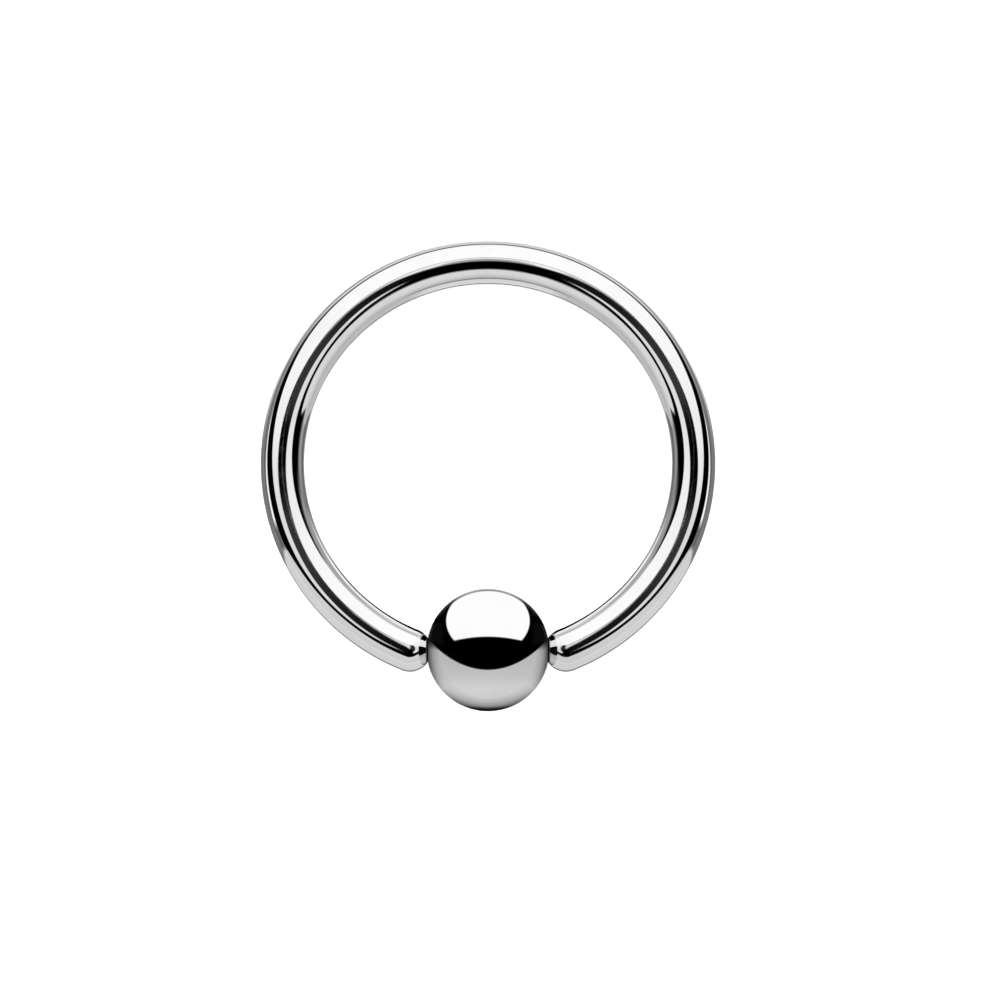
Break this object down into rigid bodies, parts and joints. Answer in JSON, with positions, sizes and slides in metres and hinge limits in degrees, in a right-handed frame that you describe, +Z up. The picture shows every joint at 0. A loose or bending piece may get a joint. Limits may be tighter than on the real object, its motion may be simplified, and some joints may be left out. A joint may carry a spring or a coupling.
{
  "type": "captive bead ring",
  "caption": "Hoop of round polished steel wire with a gap whose domed ends hold a round bead in shallow dimples.",
  "frame": {"origin": "on the surface that the ring lies on, under the middle of its bounding box", "axes": "+Z up from the surface, +Y from the bead towards the wire across from it, +X along the line through the bead's two dimples"},
  "size_m": [0.0176, 0.0184, 0.0047],
  "materials": {
    "wire_steel": "mirror polished stainless steel",
    "bead_steel": "mirror polished stainless steel"
  },
  "bodies": {
    "hoop": {"hoop": "wire_steel"},
    "bead": {"bead": "bead_steel"}
  },
  "joints": [
    {"name": "bead_spin", "type": "hinge", "parent": "hoop", "child": "bead", "pos_m": [0, -0.00688, 0.00236], "axis": [1, 0, 0], "continuous": true}
  ]
}
